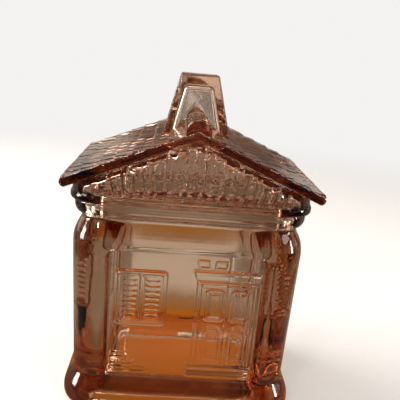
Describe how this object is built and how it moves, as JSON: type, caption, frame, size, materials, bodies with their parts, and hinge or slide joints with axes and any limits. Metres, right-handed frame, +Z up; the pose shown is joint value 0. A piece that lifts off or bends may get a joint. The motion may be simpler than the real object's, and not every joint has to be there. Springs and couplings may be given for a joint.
{
  "type": "coin bank jar",
  "caption": "House-shaped pressed-glass jar with a lift-off gabled roof lid, hollow chimney knob, moulded door and shuttered window, and a coin slot in the ridge.",
  "frame": {"origin": "centre of the surface that the jar stands on, under the middle of the roof", "axes": "+Z up, -Y towards the side with the door and window, +X to the right seen from that side"},
  "size_m": [0.125, 0.09, 0.175],
  "materials": {
    "amber_glass": "fire-polished pressed glass, pink amber",
    "roof_glass": "fire-polished pressed glass, pink amber",
    "clear_seal": "soft translucent ring"
  },
  "bodies": {
    "jar": {"jar_body": "amber_glass"},
    "lid": {"roof_lid": "roof_glass", "lid_seal": "clear_seal"}
  },
  "joints": [
    {"name": "lid_lift", "type": "slide", "parent": "jar", "child": "lid", "axis": [0, 0, 1], "range_m": [0, 0.06]}
  ]
}
